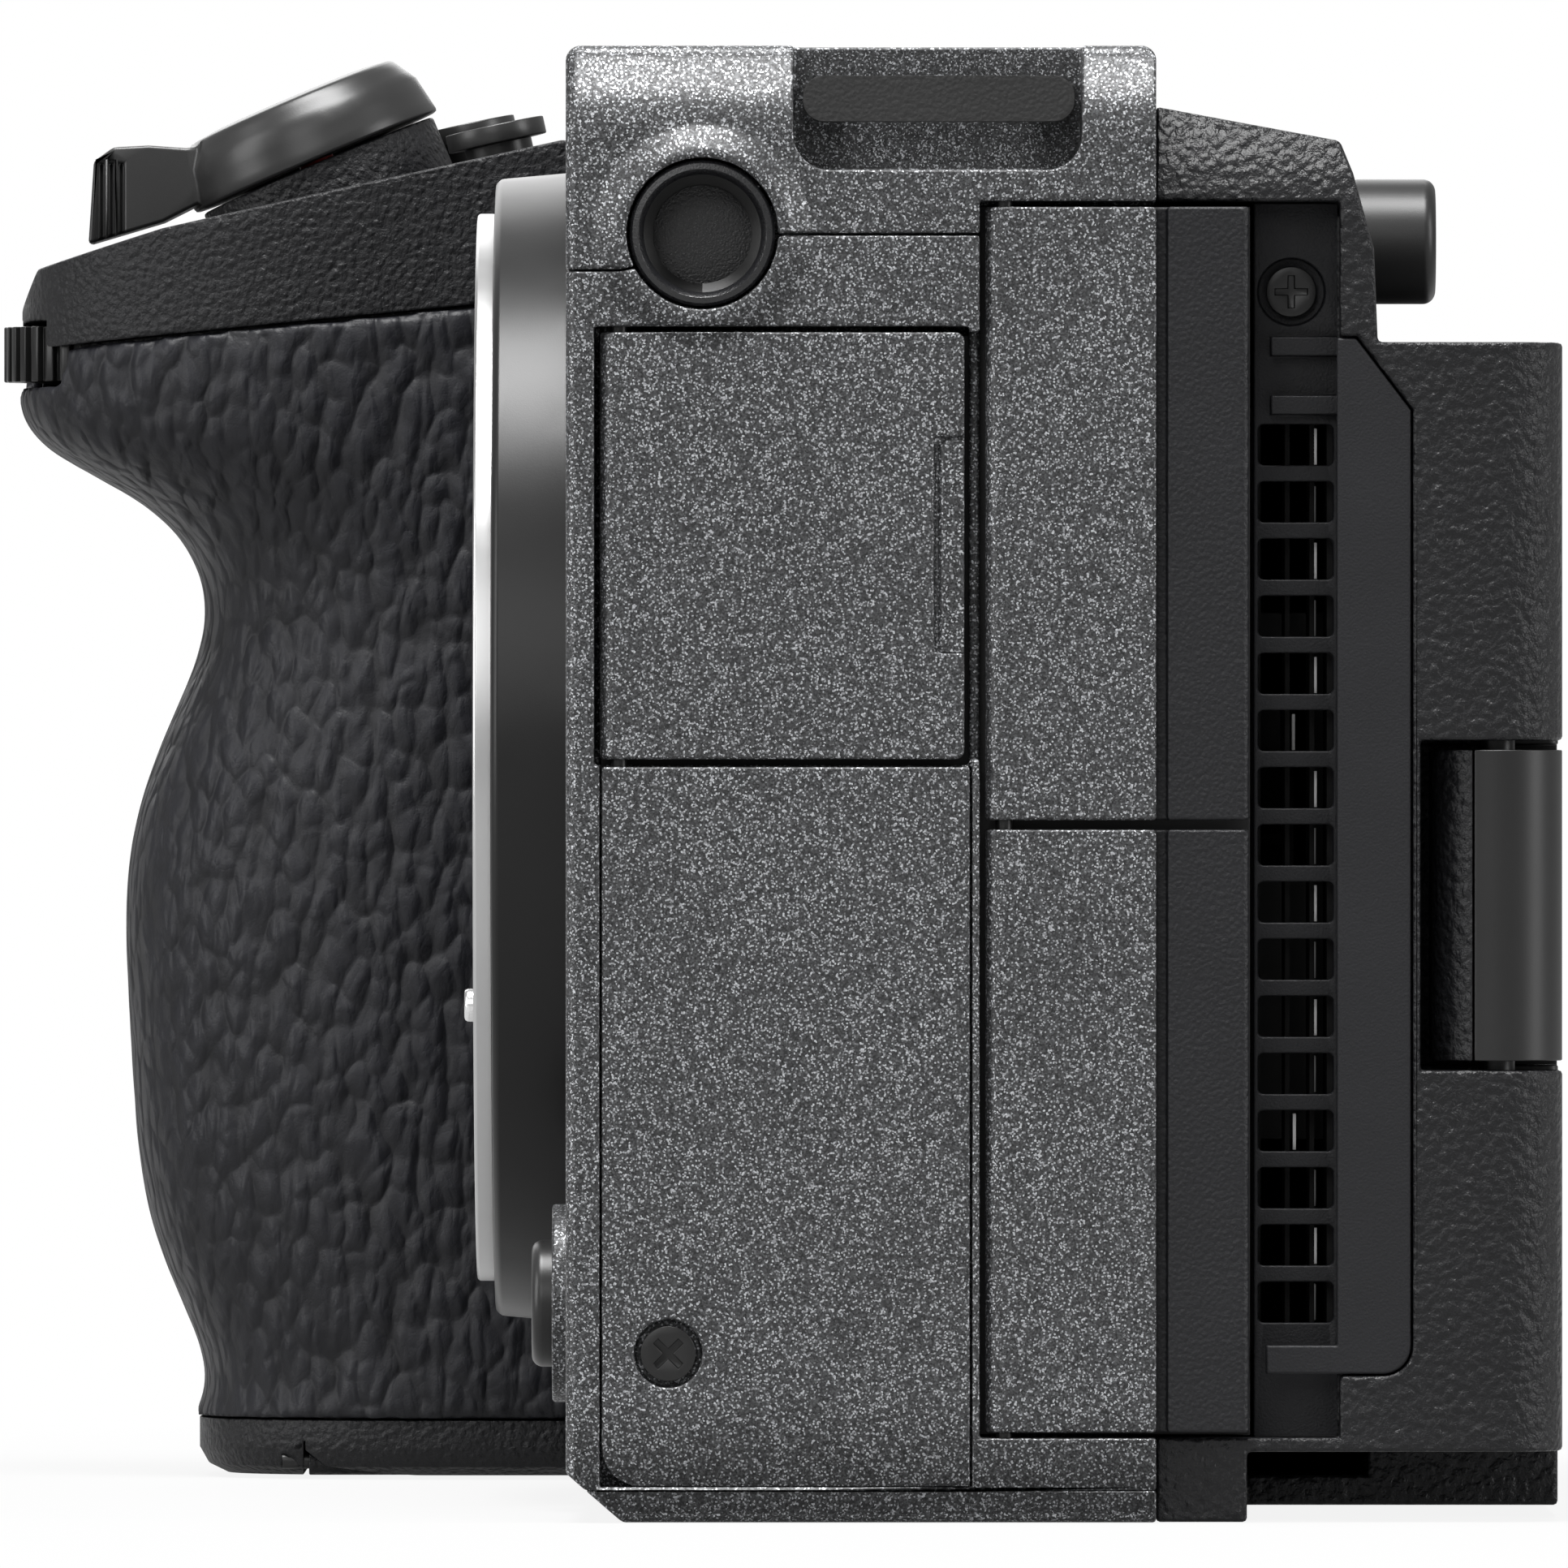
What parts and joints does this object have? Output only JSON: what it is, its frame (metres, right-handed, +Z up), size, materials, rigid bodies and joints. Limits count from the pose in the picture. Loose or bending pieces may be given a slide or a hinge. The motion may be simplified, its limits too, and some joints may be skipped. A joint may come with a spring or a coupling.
{
  "type": "cinema camera",
  "caption": "Compact cinema camera body: lens mount, hinged port doors, cooling vent, swing-out monitor, hand grip with dials, buttons and battery bay, threaded accessory holes.",
  "frame": {"origin": "mouth of the tripod socket in the base, under the lens axis", "axes": "+Z up, -Y the way the lens looks, +X the side with the port doors, -X the hand grip"},
  "size_m": [0.1297, 0.085, 0.0796],
  "materials": {
    "housing_paint": "dark grey metallic, fine speckle",
    "cover_plastic": "black, pebbled",
    "smooth_plastic": "black, fine grain",
    "control_metal": "black anodised look",
    "record_red": "red",
    "bright_metal": "turned",
    "steel": "plated",
    "jack_plastic": "moulded",
    "light_metal": "cast",
    "shutter_black": "matt black",
    "leatherette": "pebble grain",
    "screen_glass": "polished",
    "filter_glass": "coated",
    "board": "solder mask"
  },
  "bodies": {
    "camera": {"top_cover": "housing_paint", "front_shell": "housing_paint", "base_plate": "housing_paint", "side_panel": "housing_paint", "rear_cover": "cover_plastic", "grip_shell": "cover_plastic", "grip_top_cover": "cover_plastic", "connector_panel": "cover_plastic", "vent_grille": "cover_plastic", "vent_frame": "smooth_plastic", "battery": "smooth_plastic", "card_slot": "smooth_plastic", "fan_housing": "smooth_plastic", "lens_contacts": "smooth_plastic", "mount_collar": "control_metal", "shoe_rails": "control_metal", "mount_flange": "bright_metal", "thread_bushings": "steel", "screws": "steel", "hinge_pins": "steel", "strap_lugs": "steel", "data_sockets": "steel", "audio_jacks": "jack_plastic", "heat_sink": "light_metal", "sensor_frame": "light_metal", "shutter_unit": "shutter_black", "grip_leather": "leatherette", "sensor_glass": "filter_glass", "main_board": "board"},
    "zoom_lever": {"zoom_lever": "smooth_plastic"},
    "record_button": {"record_button": "record_red"},
    "power_switch": {"power_switch": "smooth_plastic"},
    "iris_button": {"iris_button": "smooth_plastic"},
    "gain_button": {"gain_button": "smooth_plastic"},
    "front_dial": {"front_dial": "control_metal"},
    "rear_dial": {"rear_dial": "control_metal"},
    "stick_stem": {"stick_stem": "steel"},
    "stick_cap": {"stick_cap": "smooth_plastic"},
    "control_wheel": {"control_wheel": "control_metal"},
    "centre_button": {"centre_button": "smooth_plastic"},
    "menu_button": {"menu_button": "smooth_plastic"},
    "function_button": {"function_button": "smooth_plastic"},
    "playback_button": {"playback_button": "smooth_plastic"},
    "delete_button": {"delete_button": "smooth_plastic"},
    "battery_door": {"battery_door": "cover_plastic"},
    "battery_latch": {"battery_latch": "smooth_plastic"},
    "card_door": {"card_door": "cover_plastic"},
    "fan_impeller": {"fan_impeller": "smooth_plastic"},
    "lens_release_button": {"lens_release_button": "smooth_plastic"},
    "lens_lock_pin": {"lens_lock_pin": "bright_metal"},
    "mic_door": {"mic_door": "housing_paint"},
    "hdmi_door": {"hdmi_door": "housing_paint", "hdmi_door_back": "cover_plastic"},
    "usb_door": {"usb_door": "housing_paint", "usb_door_back": "cover_plastic"},
    "monitor": {"monitor_arm": "cover_plastic", "monitor_arm_cover": "cover_plastic", "monitor_tray": "cover_plastic", "monitor_frame": "smooth_plastic", "monitor_glass": "screen_glass"}
  },
  "joints": [
    {"name": "mic_door_hinge", "type": "hinge", "parent": "camera", "child": "mic_door", "pos_m": [0.056, -0.0087, 0.0514], "axis": [0, 0, -1], "range_deg": [0, 90]},
    {"name": "hdmi_door_hinge", "type": "hinge", "parent": "camera", "child": "hdmi_door", "pos_m": [0.056, 0.0116, 0.0531], "axis": [0, 0, -1], "range_deg": [0, 95]},
    {"name": "usb_door_hinge", "type": "hinge", "parent": "camera", "child": "usb_door", "pos_m": [0.056, 0.0116, 0.0206], "axis": [0, 0, -1], "range_deg": [0, 95]},
    {"name": "monitor_swing", "type": "hinge", "parent": "camera", "child": "monitor", "pos_m": [0.05205, 0.03765, 0.0325], "axis": [0, 0, -1], "range_deg": [0, 176]},
    {"name": "battery_door_hinge", "type": "hinge", "parent": "camera", "child": "battery_door", "pos_m": [-0.0438, -0.0062, 0.001], "axis": [0, -1, 0], "range_deg": [0, 95]},
    {"name": "battery_latch_slide", "type": "slide", "parent": "battery_door", "child": "battery_latch", "axis": [-1, 0, 0], "range_m": [0, 0.0022]},
    {"name": "card_door_hinge", "type": "hinge", "parent": "camera", "child": "card_door", "pos_m": [-0.0719, 0.0182, 0.036], "axis": [0, 0, -1], "range_deg": [0, 90]},
    {"name": "lens_release_press", "type": "slide", "parent": "camera", "child": "lens_release_button", "axis": [0, 1, 0], "range_m": [0, 0.0009], "stiffness_N_per_m": 800},
    {"name": "lens_pin_draw", "type": "slide", "parent": "camera", "child": "lens_lock_pin", "axis": [0, 1, 0], "range_m": [0, 0.0006]},
    {"name": "front_dial_turn", "type": "hinge", "parent": "camera", "child": "front_dial", "pos_m": [-0.052, -0.0377, 0.063], "axis": [0, 0, 1], "continuous": true},
    {"name": "rear_dial_turn", "type": "hinge", "parent": "camera", "child": "rear_dial", "pos_m": [-0.058, 0.0213, 0.0707], "axis": [0, 0, 1], "continuous": true},
    {"name": "control_wheel_turn", "type": "hinge", "parent": "camera", "child": "control_wheel", "pos_m": [-0.0515, 0.0385, 0.027], "axis": [0, 1, 0], "continuous": true},
    {"name": "centre_press", "type": "slide", "parent": "camera", "child": "centre_button", "axis": [0, -1, 0], "range_m": [0, 0.0004], "stiffness_N_per_m": 400},
    {"name": "menu_press", "type": "slide", "parent": "camera", "child": "menu_button", "axis": [0, -1, 0], "range_m": [0, 0.0005], "stiffness_N_per_m": 400},
    {"name": "function_press", "type": "slide", "parent": "camera", "child": "function_button", "axis": [0, -1, 0], "range_m": [0, 0.0005], "stiffness_N_per_m": 400},
    {"name": "playback_press", "type": "slide", "parent": "camera", "child": "playback_button", "axis": [0, -1, 0], "range_m": [0, 0.0005], "stiffness_N_per_m": 400},
    {"name": "delete_press", "type": "slide", "parent": "camera", "child": "delete_button", "axis": [0, -1, 0], "range_m": [0, 0.0005], "stiffness_N_per_m": 400},
    {"name": "iris_press", "type": "slide", "parent": "camera", "child": "iris_button", "axis": [0, 0.2146, -0.9767], "range_m": [0, 0.0004], "stiffness_N_per_m": 400},
    {"name": "gain_press", "type": "slide", "parent": "camera", "child": "gain_button", "axis": [0, 0.2146, -0.9767], "range_m": [0, 0.0004], "stiffness_N_per_m": 400},
    {"name": "record_press", "type": "slide", "parent": "camera", "child": "record_button", "axis": [0, 0.3907, -0.9205], "range_m": [0, 0.0005], "stiffness_N_per_m": 400},
    {"name": "zoom_turn", "type": "hinge", "parent": "camera", "child": "zoom_lever", "pos_m": [-0.052, -0.0263, 0.0739], "axis": [0, -0.3907, 0.9205], "range_deg": [-15, 15], "stiffness_Nm_per_rad": 0.02},
    {"name": "power_slide", "type": "slide", "parent": "camera", "child": "power_switch", "axis": [1, 0, 0], "range_m": [0, 0.003]},
    {"name": "stick_up_down", "type": "hinge", "parent": "camera", "child": "stick_stem", "pos_m": [-0.045, 0.0274, 0.0693], "axis": [1, 0, 0], "range_deg": [-4, 4], "stiffness_Nm_per_rad": 0.01},
    {"name": "stick_left_right", "type": "hinge", "parent": "stick_stem", "child": "stick_cap", "pos_m": [-0.045, 0.0274, 0.0693], "axis": [0, 0, 1], "range_deg": [-4, 4], "stiffness_Nm_per_rad": 0.01},
    {"name": "fan_turn", "type": "hinge", "parent": "camera", "child": "fan_impeller", "pos_m": [0.024, 0.0246, 0.034], "axis": [0, 1, 0], "continuous": true}
  ],
  "couplings": [
    {"joint": "lens_pin_draw", "follows": "lens_release_press", "ratio": 0.66667}
  ]
}
